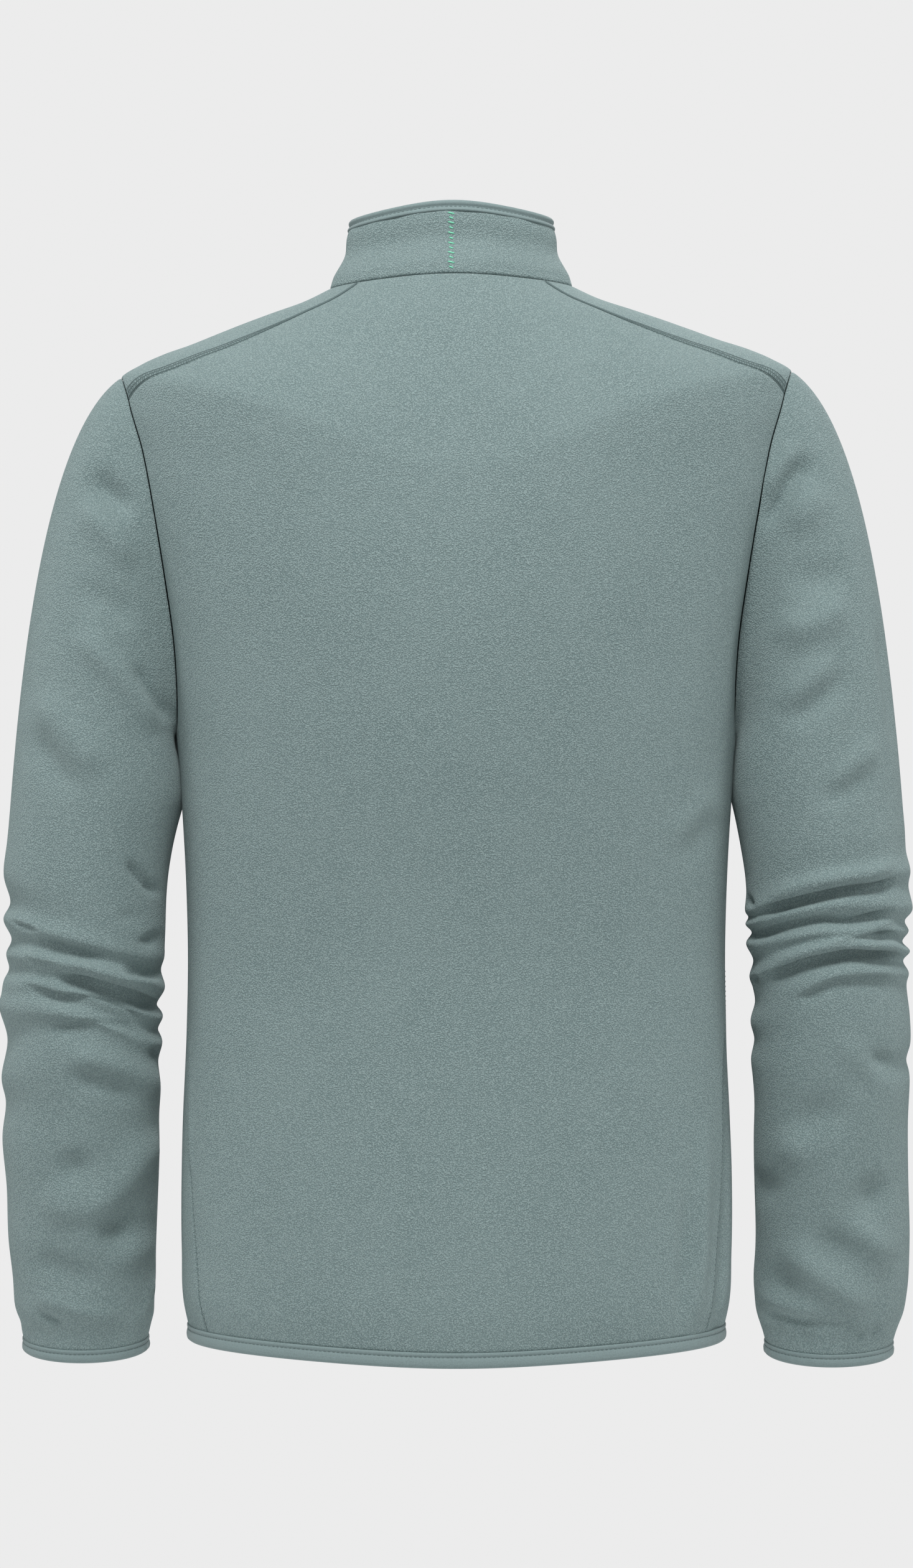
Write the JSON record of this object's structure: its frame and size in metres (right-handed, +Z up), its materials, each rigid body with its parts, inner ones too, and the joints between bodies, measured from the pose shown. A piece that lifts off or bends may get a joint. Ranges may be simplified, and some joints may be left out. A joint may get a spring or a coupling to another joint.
{
  "type": "fleece jacket",
  "caption": "Zip-fronted fleece jacket with a stand collar and long sleeves, filled out as if worn, open at neck, hem and cuffs",
  "frame": {"origin": "midway between the wearer's shoulders, at the height of the neck's side points, where the jacket hangs on the wearer", "axes": "+Z up, the front faces -Y, the left sleeve is towards +X"},
  "size_m": [0.616, 0.2526, 0.782],
  "materials": {
    "fleece": "smooth-faced knitted fleece, matt with a soft sheen",
    "binding": "smooth elastic jersey",
    "zip_tape": "woven zip tape",
    "zip_plastic": "moulded zip plastic",
    "zip_metal": "painted zinc casting"
  },
  "bodies": {
    "garment": {"back_panel": "fleece", "front_left": "fleece", "front_right": "fleece", "collar": "fleece", "sleeve_left": "fleece", "sleeve_right": "fleece", "collar_binding": "binding", "hem_binding": "binding", "cuff_binding_left": "binding", "cuff_binding_right": "binding", "zip_tape_left": "zip_tape", "zip_tape_right": "zip_tape", "zip_chain": "zip_plastic", "zip_box": "zip_plastic", "zip_slider": "zip_metal"},
    "pull_tab": {"zip_pull": "zip_metal"}
  },
  "joints": [
    {"name": "pull_tab_hinge", "type": "hinge", "parent": "garment", "child": "pull_tab", "pos_m": [0.00323, -0.07881, -0.0095], "axis": [-1, 0, 0], "range_deg": [0, 160]}
  ]
}
